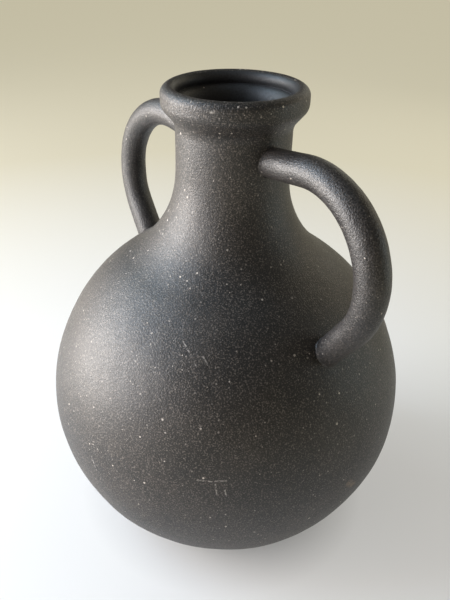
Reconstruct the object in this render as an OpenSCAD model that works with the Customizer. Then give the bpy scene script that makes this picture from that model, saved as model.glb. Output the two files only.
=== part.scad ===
// Two-handled black clay jug: round belly, flared neck, rolled rim, two loop handles.
// Units are millimetres. +Z is up and the origin is the centre of the flat base.
// Every wall is a solid of revolution about Z, and both handles lie in the XZ plane.

/* [Body] */
// Overall height, from the resting face to the crest of the rim
height = 310; // [306:1:330]
// Greatest diameter of the belly
belly_d = 240; // [232:1:244]
// Height of the widest ring of the belly above the resting face
belly_z = 101; // [98:1:104]
// How much smaller the radius of the lower arc is than the belly radius
lower_inset = 6; // [4:0.5:8]
// Thickness of the belly wall
wall_t = 6.5; // [5:0.5:8]
// Thickness of the base slab
base_t = 9; // [7:0.5:11]
// Height of the slanted seam between the two belly halves
seam_rise = 6; // [4:0.5:8]

/* [Neck and rim] */
// Outer diameter of the straight part of the neck
neck_d = 70; // [68:1:72]
// Radius of the hollow curve that leads from the shoulder into the neck
flare_r = 70; // [66:1:74]
// Outer diameter of the rolled rim
rim_d = 87; // [86:1:90]
// Height from the widest ring of the rim up to its crest
rim_round = 5; // [4:0.5:6]
// Depth below the crest at which the upright side of the rim turns inwards
rim_side = 9; // [8:0.5:10]
// Radius of that turn
rim_turn = 7; // [6:0.5:8]
// Slant of the underside of the rim, in degrees from the vertical
rim_taper = 40; // [36:1:42]
// Radius of the hollow in which the rim runs out onto the neck
rim_root = 11; // [9:0.5:12]
// Diameter of the mouth at its narrowest, inside the rolled rim
mouth_d = 69; // [68:0.5:70]
// Depth of the crease inside the mouth, where the neck ends inside the rim
mouth_step = 7.5; // [7:0.5:9]
// Height over which the inside of the neck opens out towards the mouth
throat_h = 14; // [8:0.5:16]

/* [Handles] */
// Diameter of the round handle bar round its bend
handle_d = 19; // [17:0.2:20]
// Diameter of the handle bar at each end, where it meets the pot
handle_end_d = 17; // [15:0.2:17.6]
// Radius of the handle's bend, on the centre line of the bar
handle_bend = 50.5; // [48:0.5:52]
// Distance of the bend's centre from the pot's axis
handle_x = 67; // [66:0.5:68]
// Height of the bend's centre above the widest ring of the belly
handle_rise = 125.5; // [123:0.5:128]
// Angle at which the bend starts near the neck, in degrees above horizontal
upper_angle = 97; // [93:1:100]
// Angle at which the bend ends near the shoulder, in degrees below horizontal
lower_angle = 35; // [30:1:40]

/* [Slip joints] */
// Height of the ring of filler clay, measured along the handle
slip_h = 4; // [3:0.5:5]
// Width of the ring of filler clay where it meets the wall
slip_w = 2.4; // [1.5:0.1:3]

/* [Hidden] */

$fn = 96;
face_fn = 240;
belly_r = belly_d / 2;
lower_r = belly_r - lower_inset;
neck_r = neck_d / 2;
rim_r = rim_d / 2;
mouth_r = mouth_d / 2;
bar_r = handle_d / 2;
bar_end_r = handle_end_d / 2;

// The shoulder arc and the hollow neck arc touch on the line between their centres.
flare_x = neck_r + flare_r;
flare_z = belly_z + sqrt(pow(belly_r + flare_r, 2) - pow(flare_x, 2));
shoulder_r = belly_r * flare_x / (belly_r + flare_r);
shoulder_z = belly_z + belly_r * (flare_z - belly_z) / (belly_r + flare_r);

// Rim: its widest ring, the middle of its rounded lip, and the end of the neck inside it
rim_wide_z = height - rim_round;
lip_w = 4.2;
lip_r = mouth_r + lip_w;
neck_end_z = height - mouth_step;
neck_in_r = neck_r - wall_t;
// The neck's wall thins to this edge at its end, where its inside has opened out by throat_w
neck_edge = 0.5;
throat_w = wall_t - neck_edge;

// Underside of the rim: a turn, a straight slant and a hollow, one above the other
turn_z = height - rim_side;
bends_w = (rim_turn + rim_root) * (1 - cos(rim_taper));
slant_l = (rim_r - neck_r - bends_w) / sin(rim_taper);
root_z = turn_z - (rim_turn + rim_root) * sin(rim_taper) - slant_l * cos(rim_taper);
// The hollow stops at this angle, where the rim is only a feather edge on the neck
feather = 14;

// Handle bar: where its bend starts and ends, and how far its straight ends run inwards
bend_z = belly_z + handle_rise;
upper_x = handle_x + handle_bend * cos(upper_angle);
upper_z = bend_z + handle_bend * sin(upper_angle);
lower_x = handle_x + handle_bend * cos(lower_angle);
lower_z = bend_z - handle_bend * sin(lower_angle);
upper_run = (upper_x - neck_r) / sin(upper_angle);
// Distance along the lower run at which the centre line reaches the shoulder
lower_dot = lower_x * sin(lower_angle) + (lower_z - belly_z) * cos(lower_angle);
lower_sq = pow(lower_x, 2) + pow(lower_z - belly_z, 2) - pow(belly_r, 2);
lower_run = lower_dot - sqrt(pow(lower_dot, 2) - lower_sq);
// The bar and the filler are drawn this far past the wall's face, then cut back to it
root_depth = 9;
slip_depth = 5;
// Each straight end runs this far into the bend, inside it by a hair all round
run_lap = 2;
run_clear = 0.15;

clay = "#3a3836";
clay_dark = "#2c2a29";
clay_slip = "#45423f";

// Filled half-outline of the pot, t inside its outer face
module half_outline(t) {
    intersection() {
        union() {
            translate([lower_inset, belly_z]) circle(r = lower_r - t);
            translate([0, belly_z - lower_r + t]) square([lower_inset, lower_r - t]);
        }
        square([belly_r, belly_z]);
    }
    intersection() {
        translate([0, belly_z]) circle(r = belly_r - t);
        translate([0, belly_z]) square([belly_r, shoulder_z - belly_z]);
    }
    difference() {
        translate([0, shoulder_z]) square([shoulder_r, flare_z - shoulder_z]);
        translate([flare_x, flare_z]) circle(r = flare_r + t);
    }
    square([neck_r - t, height]);
}

// Cross-section of the pot's wall
module half_wall() {
    difference() {
        half_outline(0);
        half_outline(wall_t);
    }
}

// Everything below the bevelled seam round the belly, which drops outwards by seam_rise
module below_belly_seam() {
    high = belly_z + seam_rise / 2;
    low = belly_z - seam_rise / 2;
    polygon([[0, 0], [0, high], [belly_r - wall_t, high], [belly_r, low],
             [belly_r + wall_t, low], [belly_r + wall_t, 0]]);
}

// Everything below the seam where shoulder and neck meet, square to the wall
module below_neck_seam() {
    polygon([[0, 0], [0, belly_z], [flare_x, flare_z], [belly_r + flare_x, flare_z],
             [belly_r + flare_x, 0]]);
}

// Outer faces of the neck and the belly as solids, which each handle end is cut back to
module neck_face() {
    translate([0, 0, flare_z - slip_depth])
        cylinder(h = height - flare_z, r = neck_r, $fn = face_fn);
}

module belly_face() {
    translate([0, 0, belly_z]) sphere(r = belly_r, $fn = face_fn);
}

module base() {
    color(clay_dark) rotate_extrude() intersection() {
        half_outline(0);
        square([belly_r, base_t]);
    }
}

module lower_bowl() {
    color(clay) rotate_extrude() difference() {
        intersection() {
            half_wall();
            below_belly_seam();
        }
        square([belly_r, base_t]);
    }
}

module upper_body() {
    color(clay) rotate_extrude() difference() {
        intersection() {
            half_wall();
            below_neck_seam();
        }
        below_belly_seam();
    }
}

// The neck ends inside the rim, and opens out towards that end
module neck() {
    color(clay) rotate_extrude() difference() {
        half_wall();
        below_neck_seam();
        translate([0, neck_end_z]) square([2 * neck_r, 2 * mouth_step]);
        polygon(concat(
            [[0, neck_end_z - throat_h], [0, height], [neck_in_r + throat_w, height]],
            bow(neck_in_r + throat_w, neck_end_z - throat_h, throat_w, throat_h, 90, 180)));
    }
}

// Points of a quarter ellipse about [cx, cz], from angle a0 to angle a1
function bow(cx, cz, rx, rz, a0, a1) =
    let (n = 10) [for (i = [0:n]) let (a = a0 + (a1 - a0) * i / n) [cx + rx * cos(a), cz + rz * sin(a)]];

// Rolled coil wrapped round the end of the neck: round lip, upright side, long underside.
// The curve inside the lip starts a little past the crest, so that no point comes twice.
module rim() {
    feather_z = root_z + rim_root * sin(feather);
    color(clay) rotate_extrude() polygon(concat(
        [[neck_r, neck_end_z], [neck_r, feather_z]],
        bow(neck_r + rim_root, root_z, rim_root, rim_root, 180 - feather, 180 - rim_taper),
        bow(rim_r - rim_turn, turn_z, rim_turn, rim_turn, -rim_taper, 0),
        bow(lip_r, rim_wide_z, rim_r - lip_r, rim_round, 0, 90),
        bow(lip_r, rim_wide_z, lip_w, rim_round, 99, 180),
        [[mouth_r, neck_end_z]]));
}

// Centre-line frame of the bar's straight end at the neck: Z points out along the bar
module at_neck_end() {
    translate([upper_x, 0, upper_z]) rotate([0, 180 - upper_angle, 0])
        translate([0, 0, -upper_run]) children();
}

// Centre-line frame of the bar's straight end at the shoulder: Z points out along the bar
module at_shoulder_end() {
    translate([lower_x, 0, lower_z]) rotate([0, lower_angle, 0])
        translate([0, 0, -lower_run]) children();
}

// Straight end of the bar, thinnest at the wall and run length long from there to the bend
module bar_end(run) {
    cylinder(h = run + run_lap, r1 = bar_end_r, r2 = bar_r - run_clear);
    translate([0, 0, -root_depth]) cylinder(h = root_depth, r = bar_end_r);
}

// Round bar with a circular bend and a straight end at the neck and at the shoulder
module bar() {
    at_neck_end() bar_end(upper_run);
    translate([handle_x, 0, bend_z]) rotate([90, 0, 0])
        rotate_extrude(start = -lower_angle, angle = lower_angle + upper_angle)
            translate([handle_bend, 0]) circle(r = bar_r);
    at_shoulder_end() bar_end(lower_run);
}

module handle() {
    difference() {
        bar();
        neck_face();
        belly_face();
    }
}

// Cone of soft clay round the end of the bar, widening towards the wall
module filler() {
    spread = slip_w * (slip_h + slip_depth) / slip_h;
    translate([0, 0, -slip_depth])
        cylinder(h = slip_h + slip_depth, r1 = bar_end_r + spread, r2 = bar_end_r);
}

module slip_joint_upper() {
    difference() {
        at_neck_end() filler();
        bar();
        neck_face();
    }
}

module slip_joint_lower() {
    difference() {
        at_shoulder_end() filler();
        bar();
        belly_face();
    }
}

module handle_right() { color(clay) handle(); }
module handle_left() { color(clay) mirror([1, 0, 0]) handle(); }
module slip_joint_right_upper() { color(clay_slip) slip_joint_upper(); }
module slip_joint_right_lower() { color(clay_slip) slip_joint_lower(); }
module slip_joint_left_upper() { color(clay_slip) mirror([1, 0, 0]) slip_joint_upper(); }
module slip_joint_left_lower() { color(clay_slip) mirror([1, 0, 0]) slip_joint_lower(); }

base();
lower_bowl();
upper_body();
neck();
rim();
handle_right();
handle_left();
slip_joint_right_upper();
slip_joint_right_lower();
slip_joint_left_upper();
slip_joint_left_lower();
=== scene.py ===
"""Two-handled black clay jug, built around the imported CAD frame.

Shapes are worked out in millimetres and become metres when a mesh is made.
"""
import math

import bpy
import numpy as np
from mathutils import Matrix, Vector


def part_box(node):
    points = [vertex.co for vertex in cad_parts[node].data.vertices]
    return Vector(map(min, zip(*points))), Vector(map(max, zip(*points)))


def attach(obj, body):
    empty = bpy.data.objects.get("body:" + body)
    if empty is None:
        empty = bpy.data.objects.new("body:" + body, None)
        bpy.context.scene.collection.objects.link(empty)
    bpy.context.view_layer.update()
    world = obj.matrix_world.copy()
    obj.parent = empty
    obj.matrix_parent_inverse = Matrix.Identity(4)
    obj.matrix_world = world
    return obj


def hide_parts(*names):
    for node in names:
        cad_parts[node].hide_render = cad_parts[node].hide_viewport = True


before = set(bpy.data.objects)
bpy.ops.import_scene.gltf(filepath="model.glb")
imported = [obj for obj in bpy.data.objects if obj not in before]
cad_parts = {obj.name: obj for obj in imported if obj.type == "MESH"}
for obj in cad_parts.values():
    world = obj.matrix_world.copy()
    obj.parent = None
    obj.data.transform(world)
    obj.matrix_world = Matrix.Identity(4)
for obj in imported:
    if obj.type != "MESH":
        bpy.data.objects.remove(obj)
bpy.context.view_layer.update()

MM = 0.001

# ---------------------------------------------------------------- sizes

# From the frame
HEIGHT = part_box("rim")[1].z / MM
RIM_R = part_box("rim")[1].y / MM
BELLY_R = round(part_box("upper_body")[1].x / MM)
BASE_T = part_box("base")[1].z / MM

# Body: two belly arcs, the hollow flare and the straight neck
BELLY_Z = 101
LOWER_INSET = 6
LOWER_R = BELLY_R - LOWER_INSET
WALL = 6.5
SEAM_RISE = 6
NECK_R = 35
FLARE_R = 70
FLARE_X = NECK_R + FLARE_R
FLARE_Z = BELLY_Z + math.sqrt((BELLY_R + FLARE_R) ** 2 - FLARE_X**2)
SHOULDER_ANGLE = math.degrees(math.atan2(FLARE_Z - BELLY_Z, FLARE_X))
FOOT_ROUND = 16
FOOT_HOLLOW = 0.7
HOLLOW_EDGE = 4
HOLLOW_ROWS = 14
FLOOR_ROUND = 12

# Rim: lip, upright side, turn, slant and the hollow that runs out onto the neck.
# LIP_SANDY, LIP_UNDER and FEATHER are in degrees.
LIP_ROUND = 5
MOUTH_R = 34.5
LIP_W = 4.2
LIP_UNDER = 32
LIP_SANDY = 30
THROAT_H = 14
TURN_Z = HEIGHT - 9
RIM_TURN = 7
RIM_ROOT = 11
RIM_TAPER = math.radians(40)
RIM_BENDS = (RIM_TURN + RIM_ROOT) * (1 - math.cos(RIM_TAPER))
RIM_SLANT = (RIM_R - NECK_R - RIM_BENDS) / math.sin(RIM_TAPER)
ROOT_Z = TURN_Z - (RIM_TURN + RIM_ROOT) * math.sin(RIM_TAPER) - RIM_SLANT * math.cos(RIM_TAPER)
FEATHER = 14

# Unevenness: the rim's lean, and where the ripples fade out
LEAN = math.tan(math.radians(0.7))
LEAN_TURN = math.radians(50)
REST_Z = 1.0
REST_FADE = 14
AXIS_FADE = 12
RIM_SHARE = 0.35

# Handles: one circular bend with a straight end at the neck and at the shoulder
BEND_X = 67
BEND_Z = BELLY_Z + 125.5
BEND_R = 50.5
UPPER_ANGLE = math.radians(97)
LOWER_ANGLE = math.radians(35)
BAR_END_R = 8.6
UPPER_TAPER = 1.6
LOWER_TAPER = 1.3
SEED_SHIFT = 40.0

# Handle ends: how deep they sink in the wall, and how they round off there
END_ROUND = 1.4
END_SHRINK = 0.4
END_DEPTH = 0.6

# Slip rings: size on the bar and on the wall, how far the edges sink in, and how deep the core is
JOINT_HEIGHT = 0.9
JOINT_WIDTH = 0.8
JOINT_LEAST_HEIGHT = 0.7
JOINT_LEAST_WIDTH = 0.5
JOINT_SINK = 0.12
JOINT_CORE = 0.9
JOINT_ROWS = 9

# Mesh spacing
ROW_STEP = 1.7
INNER_STEP = 3.4
FINE_STEP = 0.7
ROUND_COUNT = 480
BAR_COUNT = 72
BAR_STEP = 1.6
SAME_POINT = 0.01
ON_AXIS = 1e-6
NO_LENGTH = 1e-9

# Where to look for the wall along a bar, from the end of its centre line
SEARCH_INWARD = 9.0
SEARCH_OUTWARD = 16.0
SEARCH_HALVINGS = 28


# ---------------------------------------------------------------- unevenness of hand-made clay


class Ripple:
    """Sum of seeded cosine waves in space. A band is (wavelength, height, how many), in mm."""

    def __init__(self, seed, bands):
        rng = np.random.default_rng(seed)
        reach, height = [], []
        for wavelength, depth, count in bands:
            turn = rng.normal(size=(count, 3))
            turn /= np.linalg.norm(turn, axis=1, keepdims=True)
            spread = rng.uniform(0.8, 1.25, count)
            reach.append(turn * (2 * math.pi / (wavelength * spread))[:, None])
            height.append(np.full(count, depth * math.sqrt(2 / count)))
        self.reach = np.concatenate(reach)
        self.height = np.concatenate(height)
        self.phase = rng.uniform(0, 2 * math.pi, len(self.height))

    def at(self, points):
        return np.cos(points @ self.reach.T + self.phase) @ self.height


BODY_RIPPLE = Ripple(3, [(95, 0.22, 10), (34, 0.07, 16), (13, 0.022, 24), (7, 0.010, 30)])
BAR_RIPPLE = Ripple(11, [(60, 0.10, 8), (24, 0.05, 14), (9, 0.025, 20), (5, 0.012, 24)])
JOINT_RIPPLE = Ripple(19, [(9, 0.16, 12), (4, 0.10, 20)])


# ---------------------------------------------------------------- section of the pot


def arc(cx, cz, rx, rz, start, stop, step):
    """Points along an ellipse arc about [cx, cz], in degrees from start to stop."""
    length = math.radians(abs(stop - start)) * max(rx, rz)
    turns = np.radians(np.linspace(start, stop, max(3, round(length / step)) + 1))
    return list(zip(cx + rx * np.cos(turns), cz + rz * np.sin(turns)))


def line(start, stop, step):
    """Points on the straight line from start to stop."""
    count = max(1, round(math.dist(start, stop) / step))
    return [tuple(p) for p in np.linspace(start, stop, count + 1)]


def belly_angle(z, depth):
    """Angle round the belly's centre at which the face that lies depth inside the outer one is at z."""
    radius = (LOWER_R if z < BELLY_Z else BELLY_R) - depth
    return math.degrees(math.asin((z - BELLY_Z) / radius))


def corner(depth, floor_z, radius):
    """A round between a flat at floor_z and the lower belly arc: its centre's r, and its end angle."""
    reach = LOWER_R - depth - radius
    drop = BELLY_Z - floor_z - radius
    across = math.sqrt(reach**2 - drop**2)
    return LOWER_INSET + across, -math.degrees(math.atan2(drop, across))


class Outline:
    """Rows of (r, z) round the section, with the index of the row where each piece ends."""

    def __init__(self):
        self.rows = []
        self.cut = {}

    def run(self, points, cut=None):
        """Adds points, without one that repeats the last row, and marks the last as a cut."""
        if self.rows and math.dist(self.rows[-1], points[0]) < SAME_POINT:
            points = points[1:]
        self.rows += points
        if cut:
            self.cut[cut] = len(self.rows) - 1


def lower(depth, start, stop, step):
    """Part of the lower belly arc, depth inside the outer face."""
    radius = LOWER_R - depth
    return arc(LOWER_INSET, BELLY_Z, radius, radius, start, stop, step)


def upper(depth, start, stop, step):
    """Part of the upper belly arc, depth inside the outer face."""
    radius = BELLY_R - depth
    return arc(0, BELLY_Z, radius, radius, start, stop, step)


def flare(depth, start, stop, step):
    """Part of the hollow flare under the neck, depth inside the outer face."""
    radius = FLARE_R + depth
    return arc(FLARE_X, FLARE_Z, radius, radius, 180 + start, 180 + stop, step)


def underside(out):
    """Slightly hollow underside, from the axis to the start of the rounded foot."""
    foot_r, foot_end = corner(0, 0, FOOT_ROUND)
    reach = foot_r - HOLLOW_EDGE
    for r in np.linspace(0, reach, HOLLOW_ROWS):
        out.run([(r, FOOT_HOLLOW * (0.5 + 0.5 * math.cos(math.pi * (r / reach) ** 3)))])
    out.run(arc(foot_r, FOOT_ROUND, FOOT_ROUND, FOOT_ROUND, -90, foot_end, ROW_STEP))
    return foot_end


def outside(out, foot_end):
    """Base edge, belly, shoulder and neck, up to the edge where the rim's clay begins."""
    base_end = belly_angle(BASE_T, 0)
    seam = belly_angle(BELLY_Z - SEAM_RISE / 2, 0)
    out.run(lower(0, foot_end, base_end, ROW_STEP), "base_out")
    out.run(lower(0, base_end, seam, ROW_STEP), "belly_out")
    out.run(lower(0, seam, 0, ROW_STEP))
    out.run(upper(0, 0, SHOULDER_ANGLE, ROW_STEP), "shoulder_out")
    out.run(flare(0, SHOULDER_ANGLE, 0, ROW_STEP))
    out.run(line((NECK_R, FLARE_Z), (NECK_R, ROOT_Z), ROW_STEP))
    root_r = NECK_R + RIM_ROOT
    out.run(arc(root_r, ROOT_Z, RIM_ROOT, RIM_ROOT, 180, 180 - FEATHER, FINE_STEP), "rim_out")


def lip(out):
    """Rolled rim: hollow, slant, turn, upright side, lip, and the face inside the mouth."""
    taper = math.degrees(RIM_TAPER)
    turn = arc(RIM_R - RIM_TURN, TURN_Z, RIM_TURN, RIM_TURN, -taper, 0, FINE_STEP)
    root_r = NECK_R + RIM_ROOT
    out.run(arc(root_r, ROOT_Z, RIM_ROOT, RIM_ROOT, 180 - FEATHER, 180 - taper, FINE_STEP))
    out.run(line(out.rows[-1], turn[0], FINE_STEP))
    out.run(turn)
    lip_r = MOUTH_R + LIP_W
    lip_z = HEIGHT - LIP_ROUND
    out.run(line(turn[-1], (RIM_R, lip_z), FINE_STEP))
    out.run(arc(lip_r, lip_z, RIM_R - lip_r, LIP_ROUND, 0, 90, FINE_STEP))
    sandy_end = 90 + LIP_SANDY
    out.run(arc(lip_r, lip_z, LIP_W, LIP_ROUND, 90, sandy_end, FINE_STEP), "crest")
    out.run(arc(lip_r, lip_z, LIP_W, LIP_ROUND, sandy_end, 180 + LIP_UNDER, FINE_STEP), "rim_in")


def inside(out):
    """Throat, neck, belly and floor, down to the axis."""
    throat_r = NECK_R - WALL
    throat_w = out.rows[-1][0] - throat_r
    throat_end = out.rows[-1][1] - THROAT_H
    out.run(arc(throat_r + throat_w, throat_end, -throat_w, THROAT_H, 90, 0, FINE_STEP))
    out.run(line((throat_r, throat_end), (throat_r, FLARE_Z), INNER_STEP))
    out.run(flare(WALL, 0, SHOULDER_ANGLE, INNER_STEP), "shoulder_in")
    seam = belly_angle(BELLY_Z + SEAM_RISE / 2, WALL)
    floor_r, floor_end = corner(WALL, BASE_T, FLOOR_ROUND)
    out.run(upper(WALL, SHOULDER_ANGLE, seam, INNER_STEP), "belly_in")
    out.run(upper(WALL, seam, 0, INNER_STEP))
    out.run(lower(WALL, 0, floor_end, INNER_STEP), "base_in")
    out.run(arc(floor_r, BASE_T + FLOOR_ROUND, FLOOR_ROUND, FLOOR_ROUND, floor_end, -90, INNER_STEP))
    out.run(line((floor_r, BASE_T), (0, BASE_T), INNER_STEP))


outline = Outline()
outside(outline, underside(outline))
lip(outline)
inside(outline)
ROWS = np.array(outline.rows)


# ---------------------------------------------------------------- surface of the pot


def steady(z):
    """Share of the unevenness at height z: none where the pot rests, and little at the rim."""
    return np.clip((z - REST_Z) / REST_FADE, 0, 1) * np.interp(z, [FLARE_Z, ROOT_Z], [1, RIM_SHARE])


def lean(points):
    """Points moved so that the rim sits a hair lower on one side than on the other."""
    share = np.clip((points[..., 2] - FLARE_Z) / (ROOT_Z - FLARE_Z), 0, 1)
    across = points[..., 0] * math.cos(LEAN_TURN) + points[..., 1] * math.sin(LEAN_TURN)
    moved = points.copy()
    moved[..., 2] += LEAN * across * share * share * (3 - 2 * share)
    return moved


def pot_grid():
    """Every point of the pot's surface, row by row round the axis, and the normal at each."""
    turns = np.linspace(0, 2 * math.pi, ROUND_COUNT, endpoint=False)
    slope = np.gradient(ROWS, axis=0)
    slope /= np.linalg.norm(slope, axis=1, keepdims=True)
    around = np.stack([np.cos(turns), np.sin(turns)], -1)
    level = np.repeat(ROWS[:, None, 1:], ROUND_COUNT, 1)
    flat = np.concatenate([ROWS[:, None, :1] * around, level], -1)
    rise = np.repeat(-slope[:, None, :1], ROUND_COUNT, 1)
    out = np.concatenate([slope[:, None, 1:] * around, rise], -1)
    lift = BODY_RIPPLE.at(flat.reshape(-1, 3)).reshape(flat.shape[:2]) * steady(flat[..., 2])
    lift *= np.clip(ROWS[:, 0] / AXIS_FADE, 0, 1)[:, None]
    points = lean(flat + out * lift[..., None])
    along = np.gradient(points, axis=0)
    across = np.roll(points, -1, 1) - np.roll(points, 1, 1)
    normals = np.cross(across, along)
    size = np.linalg.norm(normals, axis=2, keepdims=True)
    normals = np.where(size > NO_LENGTH, normals / np.maximum(size, NO_LENGTH), out)
    return points, normals


POINTS, NORMALS = pot_grid()
OUTER = ROWS[: outline.cut["rim_in"] + 1]


def wall_gap(points):
    """How far each point is outside the pot's outer face, unevenness included."""
    flat = np.stack([np.hypot(points[:, 0], points[:, 1]), points[:, 2]], -1)
    start, step = OUTER[:-1], np.diff(OUTER, axis=0)
    share = ((flat[:, None] - start) * step).sum(-1) / (step**2).sum(-1)
    away = flat[:, None] - start - np.clip(share, 0, 1)[..., None] * step
    far = np.linalg.norm(away, axis=-1)
    near = far.argmin(1)
    pick = np.arange(len(points))
    side = step[near, 1] * away[pick, near, 0] - step[near, 0] * away[pick, near, 1]
    return np.sign(side) * far[pick, near] - BODY_RIPPLE.at(points) * steady(points[:, 2])


# ---------------------------------------------------------------- meshes


def make_piece(name, points, faces, normals, kinds, materials):
    """A mesh piece in metres. normals has one entry per face corner, or is None for smooth shading."""
    mesh = bpy.data.meshes.new(name)
    mesh.from_pydata((np.asarray(points) * MM).tolist(), [], faces)
    mesh.polygons.foreach_set("use_smooth", np.ones(len(faces), bool))
    for material in materials:
        mesh.materials.append(material)
    mesh.polygons.foreach_set("material_index", np.asarray(kinds, np.int32))
    if normals is not None:
        mesh.normals_split_custom_set(normals)
    piece = bpy.data.objects.new(name, mesh)
    bpy.context.scene.collection.objects.link(piece)
    return piece


def pot_shell(name, runs, materials):
    """Closed piece of the pot: runs of rows in order round its section, with a seam between runs."""
    rows = [row for first, last in runs for row in range(first, last + 1)]
    points, starts = [], []
    for row in rows:
        starts.append(len(points))
        points += [POINTS[row, 0]] if ROWS[row, 0] < ON_AXIS else list(POINTS[row])
    faces, normals, kinds = [], [], []
    for here in range(len(rows)):
        there = (here + 1) % len(rows)
        a_pole, b_pole = (ROWS[rows[i], 0] < ON_AXIS for i in (here, there))
        if a_pole and b_pole:
            continue
        seam = rows[there] - rows[here] != 1
        for i in range(ROUND_COUNT):
            j = (i + 1) % ROUND_COUNT
            ring = [(here, j), (here, i), (there, i), (there, j)]
            if a_pole:
                ring = ring[1:]
            elif b_pole:
                ring = ring[:3]
            face = [starts[k] + (0 if ROWS[rows[k], 0] < ON_AXIS else turn) for k, turn in ring]
            faces.append(face[::-1])
            kinds.append(int(rows[here] >= outline.cut["crest"] and not seam))
            if seam:
                p = np.array([points[v] for v in faces[-1][:3]])
                flat = np.cross(p[1] - p[0], p[2] - p[0])
                normals += [flat / np.linalg.norm(flat)] * len(face)
            else:
                normals += [NORMALS[rows[k], turn] for k, turn in reversed(ring)]
    return make_piece(name, points, faces, normals, kinds, materials)


class Bar:
    """A handle's round bar: its centre line in the XZ plane, and its surface by length and angle."""

    def __init__(self, side, middle_r, upper_r, lower_r, swell, seed):
        self.side = side
        self.swell = swell
        self.upper_r, self.middle_r, self.lower_r = upper_r, middle_r, lower_r
        self.shift = np.array([0, SEED_SHIFT * seed, 0])
        self.upper_run = (BEND_X + BEND_R * math.cos(UPPER_ANGLE) - NECK_R) / math.sin(UPPER_ANGLE)
        self.bend_len = BEND_R * (UPPER_ANGLE + LOWER_ANGLE)
        end_x = BEND_X + BEND_R * math.cos(LOWER_ANGLE)
        end_z = BEND_Z - BEND_R * math.sin(LOWER_ANGLE) - BELLY_Z
        dot = end_x * math.sin(LOWER_ANGLE) + end_z * math.cos(LOWER_ANGLE)
        self.lower_run = dot - math.sqrt(dot**2 - end_x**2 - end_z**2 + BELLY_R**2)
        self.length = self.upper_run + self.bend_len + self.lower_run

    def frame(self, s):
        """Centre point and outward direction at each length s."""
        turn = UPPER_ANGLE - np.clip((s - self.upper_run) / BEND_R, 0, UPPER_ANGLE + LOWER_ANGLE)
        before = np.minimum(s - self.upper_run, 0)
        past = before + np.maximum(s - self.upper_run - self.bend_len, 0)
        zero = np.zeros_like(s)
        outward = np.stack([np.cos(turn), zero, np.sin(turn)], -1)
        travel = np.stack([np.sin(turn), zero, -np.cos(turn)], -1)
        bulge = self.swell * np.sin(math.pi * np.clip(s / self.length, 0, 1))
        middle = np.array([BEND_X, 0, BEND_Z])
        centre = middle + (BEND_R + bulge)[:, None] * outward + past[:, None] * travel
        return centre, outward

    def radius(self, s):
        """The bar is thickest at the middle of its length, and tapers to each end."""
        share = np.clip(s / self.length, 0, 1)
        ends = np.where(share < 0.5, self.upper_r, self.lower_r)
        power = np.where(share < 0.5, UPPER_TAPER, LOWER_TAPER)
        return ends + (self.middle_r - ends) * np.sin(math.pi * share) ** power

    def surface(self, s, angle, extra=0.0):
        """Points at length s and angle round the bar, extra outside it."""
        centre, outward = self.frame(s)
        away = outward * np.cos(angle)[:, None] + np.array([0, 1.0, 0]) * np.sin(angle)[:, None]
        flat = centre + away * self.radius(s)[:, None]
        lift = BAR_RIPPLE.at(flat + self.shift) + extra
        points = flat + away * lift[:, None]
        points[:, 0] *= self.side
        return points

    def meet_wall(self, angle, end, extra=0.0, depth=0.0):
        """Length at which the bar's surface is depth inside the pot's face, at the end 0 or 1."""
        inner, outer = -SEARCH_INWARD, SEARCH_OUTWARD
        if end == 1:
            inner, outer = self.length - inner, self.length - outer
        inner, outer = np.full_like(angle, inner), np.full_like(angle, outer)
        for _ in range(SEARCH_HALVINGS):
            middle = (inner + outer) / 2
            within = wall_gap(self.surface(middle, angle, extra)) < -depth
            inner, outer = np.where(within, middle, inner), np.where(within, outer, middle)
        return (inner + outer) / 2


def tube_faces(rings, count, side, closed):
    """Quads between consecutive rings of count points. A negative side turns them over."""
    faces = []
    for ring in range(rings if closed else rings - 1):
        low, high = ring * count, (ring + 1) % rings * count
        for i in range(count):
            j = (i + 1) % count
            face = [low + i, low + j, high + j, high + i]
            faces.append(face if side > 0 else face[::-1])
    return faces


def handle_piece(name, bar, material):
    """The whole bar, cut to the pot's wall at both ends and closed just inside it."""
    angle = np.linspace(0, 2 * math.pi, BAR_COUNT, endpoint=False)
    start = bar.meet_wall(angle, 0, depth=END_DEPTH)
    stop = bar.meet_wall(angle, 1, depth=END_DEPTH)
    count = round(bar.length / BAR_STEP)
    shares = np.linspace(0, 1, count + 1)
    fine = np.array([0.25, 0.5, 0.75]) / count
    extra = [fine, fine + 1 / count, 1 - fine, 1 - fine - 1 / count]
    shares = np.sort(np.concatenate([shares] + extra))
    rings = []
    for share in shares:
        s = start + (stop - start) * share
        edge = np.minimum(s - start, stop - s) - END_DEPTH
        bite = np.clip(1 - edge / END_ROUND, 0, 1)
        rings.append(bar.surface(s, angle, -END_SHRINK * (1 - np.sqrt(1 - bite**2))))
    points = np.concatenate(rings + [[rings[0].mean(0)], [rings[-1].mean(0)]])
    faces = tube_faces(len(rings), BAR_COUNT, bar.side, False)
    last = (len(rings) - 1) * BAR_COUNT
    for i in range(BAR_COUNT):
        j = (i + 1) % BAR_COUNT
        caps = [[len(points) - 2, j, i], [len(points) - 1, last + i, last + j]]
        faces += caps if bar.side > 0 else [cap[::-1] for cap in caps]
    return make_piece(name, points, faces, None, [0] * len(faces), [material])


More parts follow.
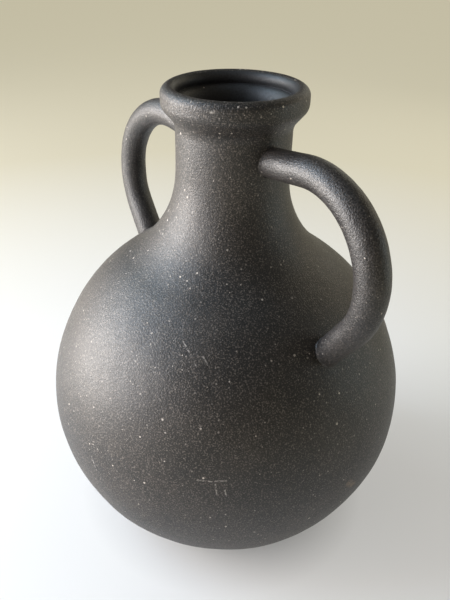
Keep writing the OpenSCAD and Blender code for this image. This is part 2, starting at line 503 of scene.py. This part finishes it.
def joint_piece(name, bar, end, height, width, material):
    """Ring of slip smeared into the corner between a handle's end and the wall."""
    count = 2 * BAR_COUNT
    angle = np.linspace(0, 2 * math.pi, count, endpoint=False)
    sign = 1 if end == 0 else -1
    rough = JOINT_RIPPLE.at(bar.surface(bar.meet_wall(angle, end), angle))
    height = np.maximum(height * (1 + rough), JOINT_LEAST_HEIGHT)
    width = np.maximum(width * (1 + np.roll(rough, 9)), JOINT_LEAST_WIDTH)
    corner_s = bar.meet_wall(angle, end)
    on_bar = bar.surface(corner_s + sign * height, angle, -JOINT_SINK)
    on_wall = bar.surface(bar.meet_wall(angle, end, width, JOINT_SINK), angle, width)
    core_s = bar.meet_wall(angle, end, -JOINT_CORE, JOINT_CORE)
    core = bar.surface(core_s, angle, -JOINT_CORE)
    pull = bar.surface(corner_s, angle, JOINT_SINK) * 0.8 + (on_bar + on_wall) * 0.1
    out = pull - core
    out_size = np.linalg.norm(out, axis=1, keepdims=True)
    rings = []
    for t in np.linspace(0, 1, JOINT_ROWS):
        lump = JOINT_RIPPLE.at(on_bar * 1.7 + t * 5) * 0.5 * t * (1 - t)
        ring = (1 - t) ** 2 * on_bar + 2 * t * (1 - t) * pull + t * t * on_wall
        rings.append(ring + out / out_size * lump[:, None])
    rings.append(core)
    faces = tube_faces(len(rings), count, -bar.side * sign, True)
    return make_piece(name, np.concatenate(rings), faces, None, [0] * len(faces), [material])


# ---------------------------------------------------------------- materials


class Graph:
    """Short hand for a material's node tree."""

    def __init__(self, name):
        self.material = bpy.data.materials.new(name)
        self.material.use_nodes = True
        self.tree = self.material.node_tree
        self.tree.nodes.clear()
        self.place = self.add("ShaderNodeTexCoord").outputs["Object"]

    def add(self, kind, **values):
        """A node. Names that are its properties are set, and other names are its inputs."""
        node = self.tree.nodes.new(kind)
        for name, value in values.items():
            if hasattr(node, name):
                setattr(node, name, value)
        for name, value in values.items():
            if not hasattr(node, name):
                self.plug(value, node.inputs[name.replace("_", " ")])
        return node

    def plug(self, value, socket):
        """Links value to an input if it is a socket, and otherwise sets the input to it."""
        if isinstance(value, bpy.types.NodeSocket):
            self.tree.links.new(value, socket)
        else:
            socket.default_value = value

    def math(self, operation, *values):
        node = self.add("ShaderNodeMath", operation=operation)
        for value, socket in zip(values, node.inputs):
            self.plug(value, socket)
        return node.outputs[0]

    def ramp(self, value, low, high, start=0.0, stop=1.0):
        """value mapped from low..high to start..stop, clamped."""
        node = self.add("ShaderNodeMapRange", From_Min=low, From_Max=high, To_Min=start, To_Max=stop)
        self.plug(value, node.inputs["Value"])
        return node.outputs["Result"]

    def blend(self, share, a, b):
        """Colour a, turning into b as share goes to 1."""
        node = self.add("ShaderNodeMix", data_type="RGBA")
        for value, index in ((share, 0), (a, 6), (b, 7)):
            self.plug(value, node.inputs[index])
        return node.outputs[2]

    def noise(self, size, detail, roughness=0.5):
        """Fractal noise from 0 to 1 whose largest lumps are about size mm across."""
        scale = 1 / (size * MM)
        node = self.add("ShaderNodeTexNoise", Scale=scale, Detail=detail, Roughness=roughness)
        self.plug(self.place, node.inputs["Vector"])
        return node.outputs["Fac"]

    def spots(self, cell, radius, share, shift):
        """Round spots of up to radius mm, each of its own brightness, in a share of the cells."""
        moved = self.add("ShaderNodeVectorMath", operation="ADD")
        self.plug(self.place, moved.inputs[0])
        moved.inputs[1].default_value = (shift, shift * 0.7, shift * 0.3)
        node = self.add("ShaderNodeTexVoronoi", Scale=1 / (cell * MM))
        self.plug(moved.outputs[0], node.inputs["Vector"])
        parts = self.add("ShaderNodeSeparateColor")
        self.plug(node.outputs["Color"], parts.inputs[0])
        chosen = self.math("LESS_THAN", parts.outputs[0], share)
        size = self.math("MULTIPLY", parts.outputs[1], radius / cell)
        size = self.math("MULTIPLY", size, chosen)
        inside = self.math("LESS_THAN", node.outputs["Distance"], size)
        return self.math("MULTIPLY", inside, parts.outputs[2])

    def streak(self, start, stop, width, place):
        """1 along the line from start to stop, fading to 0 at width mm from it. The ends are in mm."""
        run = (stop - start) * MM
        off = self.add("ShaderNodeVectorMath", operation="SUBTRACT")
        self.plug(place, off.inputs[0])
        off.inputs[1].default_value = start * MM
        along = self.add("ShaderNodeVectorMath", operation="DOT_PRODUCT")
        self.plug(off.outputs[0], along.inputs[0])
        along.inputs[1].default_value = run / run.length_squared
        nearest = self.add("ShaderNodeVectorMath", operation="SCALE")
        nearest.inputs[0].default_value = run
        self.plug(self.ramp(along.outputs["Value"], 0, 1), nearest.inputs["Scale"])
        gap = self.add("ShaderNodeVectorMath", operation="DISTANCE")
        self.plug(off.outputs[0], gap.inputs[0])
        self.plug(nearest.outputs[0], gap.inputs[1])
        return self.ramp(gap.outputs["Value"], 0.3 * width * MM, width * MM, 1, 0)

    def total(self, *values):
        value = values[0]
        for other in values[1:]:
            value = self.math("ADD", value, other)
        return value

    def scaled(self, value, factor):
        return self.math("MULTIPLY", value, factor)


def ring_point(r, turn, z):
    """Point at radius r, turn degrees round from the front and z above the floor, in mm."""
    return Vector((r * math.sin(math.radians(turn)), -r * math.cos(math.radians(turn)), z))


def belly_point(turn, z):
    """Point on the belly's face."""
    radius = LOWER_R if z < BELLY_Z else BELLY_R
    return ring_point(BELLY_R - radius + math.sqrt(radius**2 - (z - BELLY_Z) ** 2), turn, z)


DUST_SHADE = (0.004, 0.004, 0.004, 1)
DUST_LIGHT = (0.18, 0.155, 0.135, 1)
GRIT = (0.58, 0.52, 0.46, 1)
PIT = (0.008, 0.007, 0.006, 1)
WORN_FOOT = (0.10, 0.075, 0.055, 1)


def clay(name, dark, light, speck=1.0, grain=1.0, gloss=0.46, marks=()):
    """Matt black fired clay: mottled colour, sandy grain, pale grits, pits, marks and a worn foot.

    speck and grain scale the pale specks and the bumps. gloss is the roughness, so low is shiny.
    """
    g = Graph(name)
    shader = g.add("ShaderNodeBsdfPrincipled")
    parts = g.add("ShaderNodeSeparateXYZ")
    g.plug(g.place, parts.inputs[0])

    cloud = g.noise(46, 4, 0.55)
    patch = g.noise(9, 3, 0.6)
    sand = g.noise(1.0, 1, 0.5)
    dust = g.noise(0.8, 0, 0.5)

    mottle = g.ramp(g.total(g.scaled(cloud, 0.6), g.scaled(patch, 0.25)), 0.34, 0.52)
    colour = g.blend(mottle, dark, light)
    colour = g.blend(g.ramp(dust, 0.46, 0.25, 0.0, 0.9), colour, DUST_SHADE)
    colour = g.blend(g.ramp(dust, 0.57, 0.75, 0.0, 0.55 * speck), colour, DUST_LIGHT)

    # Grits: fine ones everywhere, larger ones rare and brighter
    fine = g.spots(2.0, 0.50, 0.60 * speck, 0.11)
    middle = g.spots(3.4, 0.66, 0.60 * speck, 0.23)
    large = g.spots(7, 0.85, 0.45 * speck, 0.37)
    cluster = g.ramp(g.noise(26, 2, 0.5), 0.36, 0.62, 0.35, 1.0)
    grits = g.math("MAXIMUM", g.scaled(fine, 0.35), middle)
    grits = g.math("MAXIMUM", grits, g.scaled(large, 1.3))
    grits = g.scaled(grits, cluster)
    colour = g.blend(g.math("MINIMUM", grits, 0.9), colour, GRIT)

    # Marks: straight lines in a slightly bent space, broken up along their length
    if marks:
        wobble = g.add("ShaderNodeTexNoise", Scale=1 / (6 * MM), Detail=2.0)
        g.plug(g.place, wobble.inputs["Vector"])
        bent = g.add("ShaderNodeVectorMath", operation="MULTIPLY_ADD")
        g.plug(wobble.outputs["Color"], bent.inputs[0])
        bent.inputs[1].default_value = (MM, MM, MM)
        g.plug(g.place, bent.inputs[2])
        centre = Vector((0.5, 0.5, 0.5))
        broken = g.ramp(g.noise(1.4, 1), 0.38, 0.56)
        for start, stop, width, tint in marks:
            mark = g.streak(start + centre, stop + centre, width, bent.outputs[0])
            mark = g.math("MULTIPLY", mark, broken)
            colour = g.blend(g.scaled(mark, 0.65), colour, tint)

    pits = g.spots(5.5, 0.9, 0.30, 0.61)
    colour = g.blend(g.scaled(pits, 0.7), colour, PIT)

    foot = g.ramp(parts.outputs[2], 0.6 * MM, 4 * MM, 1.0, 0.0)
    worn = g.scaled(foot, g.ramp(sand, 0.42, 0.62))
    colour = g.blend(g.scaled(worn, 0.7), colour, WORN_FOOT)

    rough = g.ramp(sand, 0.3, 0.7, gloss - 0.05, gloss + 0.07)
    rough = g.total(rough, g.scaled(patch, 0.08), g.scaled(grits, 0.2))
    height = g.total(
        g.scaled(sand, 0.17 * grain),
        g.scaled(dust, 0.09 * grain),
        g.scaled(patch, 0.06),
        g.scaled(grits, 0.05),
        g.scaled(pits, -0.25),
    )
    bump = g.add("ShaderNodeBump", Strength=1.0, Distance=MM)
    g.plug(height, bump.inputs["Height"])
    g.plug(colour, shader.inputs["Base Color"])
    g.plug(rough, shader.inputs["Roughness"])
    g.plug(bump.outputs["Normal"], shader.inputs["Normal"])
    shader.inputs["Specular IOR Level"].default_value = 0.6
    output = g.add("ShaderNodeOutputMaterial")
    g.plug(shader.outputs[0], output.inputs["Surface"])
    return g.material


# Floor colour near and far, then the floor's glow near and far, which is painted light
FLOOR_NEAR = (0.47, 0.47, 0.47, 1)
FLOOR_FAR = (0.22, 0.20, 0.17, 1)
PAINTED_GLOW_NEAR = (0.36, 0.36, 0.355, 1)
PAINTED_GLOW_FAR = (0.50, 0.47, 0.345, 1)


def floor_material():
    """Pale tabletop, beige in the distance. It glows faintly as painted light, and the glow is dimmed
    close to the pot as a painted contact shadow.
    """
    g = Graph("pale_floor")
    shader = g.add("ShaderNodeBsdfPrincipled")
    reach = g.add("ShaderNodeVectorMath", operation="LENGTH")
    g.plug(g.place, reach.inputs[0])
    far = g.ramp(reach.outputs["Value"], 0.20, 0.80)
    g.plug(g.blend(far, FLOOR_NEAR, FLOOR_FAR), shader.inputs["Base Color"])
    painted_glow = g.blend(far, PAINTED_GLOW_NEAR, PAINTED_GLOW_FAR)
    # Painted contact shadow: the glow drops to 0.3 of itself close to the pot
    glow_past_painted_shadow = g.ramp(reach.outputs["Value"], 0.05, 0.11, 0.3, 1.0)
    g.plug(g.blend(glow_past_painted_shadow, (0, 0, 0, 1), painted_glow), shader.inputs["Emission Color"])
    shader.inputs["Emission Strength"].default_value = 1.0
    shader.inputs["Roughness"].default_value = 0.6
    output = g.add("ShaderNodeOutputMaterial")
    g.plug(shader.outputs[0], output.inputs["Surface"])
    return g.material


PALE = (0.42, 0.39, 0.36, 1)
BLACK = (0.012, 0.011, 0.0105, 1)
BROWN = (0.028, 0.0235, 0.020, 1)
TAN = (0.22, 0.15, 0.09, 1)
BAR_DARK = (0.014, 0.013, 0.013, 1)
BAR_LIGHT = (0.036, 0.032, 0.030, 1)
INNER_DARK = (0.011, 0.011, 0.012, 1)
INNER_LIGHT = (0.020, 0.020, 0.022, 1)

# Scratches and scuffs, then a rubbed spot low on one side: two ends, width and colour
BODY_MARKS = [
    (belly_point(34, 186), belly_point(36.5, 183), 0.6, PALE),
    (belly_point(36.5, 183), belly_point(40.5, 177), 0.6, PALE),
    (belly_point(42.5, 181), belly_point(44.5, 178), 0.6, PALE),
    (belly_point(44, 116), belly_point(48, 116), 0.6, PALE),
    (belly_point(48, 116), belly_point(52, 117), 0.6, PALE),
    (belly_point(49, 114), belly_point(49.6, 106), 0.65, PALE),
    (belly_point(51.4, 114), belly_point(52, 106), 0.65, PALE),
    (belly_point(8.5, 103), belly_point(10, 94), 0.65, PALE),
    (belly_point(92, 90), belly_point(95, 84), 3.5, TAN),
]
NICK_Z = HEIGHT - 5
RIM_MARKS = [(ring_point(RIM_R, 34, NICK_Z), ring_point(RIM_R, 36, NICK_Z), 1.0, PALE)]
body_clay = clay("body_clay", BLACK, BROWN, marks=BODY_MARKS)
rim_clay = clay("rim_clay", BLACK, BROWN, grain=1.5, marks=RIM_MARKS)
base_clay = clay("base_clay", BLACK, BROWN)
handle_clay = clay("handle_clay", BAR_DARK, BAR_LIGHT, speck=0.5, grain=1.5, gloss=0.41)
slip_clay = clay("slip_clay", BAR_DARK, BAR_LIGHT, speck=0.6, grain=1.6, gloss=0.43)
inner_clay = clay("inner_clay", INNER_DARK, INNER_LIGHT, speck=0.1, grain=0.4, gloss=0.48)


# ---------------------------------------------------------------- pieces


def fit_in(piece, nodes):
    """Puts a piece in the frame: it rides on the one body and stands for its CAD nodes."""
    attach(piece, "root")
    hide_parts(*nodes)


cut = outline.cut
LAST = len(ROWS) - 1
# Each piece's runs of rows, its clay and its slot. Rows go up the outside, then down the inside.
SHELLS = {
    "base": (
        [(cut["base_in"], LAST), (0, cut["base_out"])],
        base_clay,
        "base_clay",
    ),
    "lower_bowl": (
        [(cut["base_out"], cut["belly_out"]), (cut["belly_in"], cut["base_in"])],
        body_clay,
        "body_clay",
    ),
    "upper_body": (
        [(cut["belly_out"], cut["shoulder_out"]), (cut["shoulder_in"], cut["belly_in"])],
        body_clay,
        "body_clay",
    ),
    "neck": (
        [(cut["shoulder_out"], cut["rim_out"]), (cut["rim_in"], cut["shoulder_in"])],
        body_clay,
        "body_clay",
    ),
    "rim": (
        [(cut["rim_out"], cut["rim_in"])],
        rim_clay,
        "rim_clay",
    ),
}
for node, (runs, material, slot) in SHELLS.items():
    fit_in(pot_shell(node + "_clay", runs, [material, inner_clay]), [node])

# The two bars differ a little, as hand-pulled ones do
BARS = {
    "right": Bar(
        side=1,
        middle_r=9.85,
        upper_r=BAR_END_R,
        lower_r=BAR_END_R,
        swell=0.5,
        seed=0,
    ),
    "left": Bar(
        side=-1,
        middle_r=9.0,
        upper_r=BAR_END_R - 0.4,
        lower_r=BAR_END_R + 0.8,
        swell=0.2,
        seed=1,
    ),
}
for side, bar in BARS.items():
    handle = handle_piece(f"handle_{side}_clay", bar, handle_clay)
    fit_in(handle, [f"handle_{side}"])
    for end, place in enumerate(("upper", "lower")):
        node = f"slip_joint_{side}_{place}"
        joint = joint_piece(node + "_clay", bar, end, JOINT_HEIGHT, JOINT_WIDTH, slip_clay)
        fit_in(joint, [node])


# ---------------------------------------------------------------- floor, light and camera

# Turns are counted from the front, which is the -Y side. Distances are in metres.
CAMERA_TURN = math.radians(50.8)
CAMERA_REACH = 0.4027
CAMERA_HEIGHT = 0.4063
CAMERA_YAW = math.radians(-0.31)
CAMERA_PITCH = math.radians(30.85)
CAMERA_ROLL = math.radians(1.79)
LENS = 41.37
SENSOR = 36
CLIP_END = 100
FLOOR_REACH = 12.0
WORLD_COLOUR = (1.0, 0.82, 0.60, 1)
WORLD_STRENGTH = 0.14


def make_camera():
    """Camera that looks down on the jug from the front right."""
    data = bpy.data.cameras.new("camera")
    data.sensor_width = SENSOR
    data.lens = LENS
    data.clip_end = CLIP_END
    level = math.cos(CAMERA_PITCH)
    ahead = math.cos(CAMERA_YAW) * level
    look = Vector((math.sin(CAMERA_YAW) * level, ahead, -math.sin(CAMERA_PITCH)))
    right = Vector((math.cos(CAMERA_YAW), -math.sin(CAMERA_YAW), 0))
    up = right.cross(look)
    rolled_right = right * math.cos(CAMERA_ROLL) + up * math.sin(CAMERA_ROLL)
    rolled_up = up * math.cos(CAMERA_ROLL) - right * math.sin(CAMERA_ROLL)
    axes = Matrix((rolled_right, rolled_up, -look)).transposed().to_4x4()
    axes.translation = Vector((0, -CAMERA_REACH, CAMERA_HEIGHT))
    camera = bpy.data.objects.new("camera", data)
    camera.matrix_world = Matrix.Rotation(CAMERA_TURN, 4, "Z") @ axes
    bpy.context.scene.collection.objects.link(camera)
    bpy.context.scene.camera = camera


# Name, degrees to the right of the camera, degrees up, watts and colour
LIGHTS = [
    ("window", -90, 8, 28.0, (1.00, 0.955, 0.92)),
    ("window_near", -60, 8, 8.8, (1.00, 0.96, 0.98)),
    ("window_far", -120, 8, 3.5, (1.00, 0.92, 0.88)),
    ("sky", -90, 38, 9.0, (0.56, 0.76, 1.00)),
    ("sky_far", -120, 38, 2.8, (0.68, 0.92, 1.00)),
    ("right", 90, 8, 1.9, (0.80, 0.95, 1.00)),
    ("right_far", 120, 24, 1.5, (1.00, 0.88, 0.66)),
    ("behind", 150, 24, 1.6, (1.00, 0.98, 0.83)),
    ("top", 30, 68, 0.35, (0.50, 0.80, 1.00)),
]
LIGHT_REACH = 1.2
LIGHT_SIZE = 0.7


def soft_light(name, turn, rise, power, colour):
    """Square light aimed at the jug: turn is in degrees to the right of the camera."""
    data = bpy.data.lights.new(name, "AREA")
    data.size = LIGHT_SIZE
    data.energy = power
    data.color = colour
    light = bpy.data.objects.new(name, data)
    around = math.radians(turn) + CAMERA_TURN
    up = math.radians(rise)
    away = Vector((math.sin(around) * math.cos(up), -math.cos(around) * math.cos(up), math.sin(up)))
    light.location = Vector((0, 0, HEIGHT * MM / 2)) + away * LIGHT_REACH
    light.rotation_mode = "QUATERNION"
    light.rotation_quaternion = away.to_track_quat("Z", "Y")
    bpy.context.scene.collection.objects.link(light)


def make_floor():
    mesh = bpy.data.meshes.new("floor")
    reach = FLOOR_REACH
    corners = [(-reach, -reach, 0), (reach, -reach, 0), (reach, reach, 0), (-reach, reach, 0)]
    mesh.from_pydata(corners, [], [(0, 1, 2, 3)])
    mesh.materials.append(floor_material())
    floor = bpy.data.objects.new("floor", mesh)
    bpy.context.scene.collection.objects.link(floor)


def make_world():
    world = bpy.data.worlds.new("studio")
    world.use_nodes = True
    background = world.node_tree.nodes["Background"]
    background.inputs["Color"].default_value = WORLD_COLOUR
    background.inputs["Strength"].default_value = WORLD_STRENGTH
    bpy.context.scene.world = world


make_floor()
make_world()
for name, turn, rise, power, colour in LIGHTS:
    soft_light(name, turn, rise, power, colour)
make_camera()
bpy.context.scene.view_settings.view_transform = "Standard"
